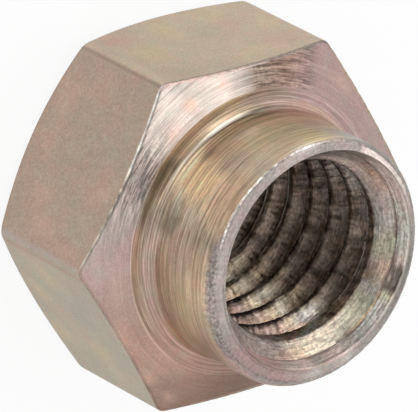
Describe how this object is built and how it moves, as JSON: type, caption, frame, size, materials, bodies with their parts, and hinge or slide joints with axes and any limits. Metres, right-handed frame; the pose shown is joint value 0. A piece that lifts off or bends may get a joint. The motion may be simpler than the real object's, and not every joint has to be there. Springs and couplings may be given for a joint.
{
  "type": "collared hexagon nut",
  "caption": "Hexagon nut with a tall round collar on its front face and a coarse thread right through.",
  "frame": {"origin": "middle of the hexagon on the flat back face that the nut stands on", "axes": "+Z along the bore towards the collar, +X through a corner of the hexagon, +Y square to a flat"},
  "size_m": [0.0218, 0.019, 0.0145],
  "materials": {
    "collared_nut": "satin turned steel with a thin, patchy yellow and pink zinc chromate film"
  },
  "bodies": {
    "root": {"collared_nut": "collared_nut"}
  },
  "joints": []
}
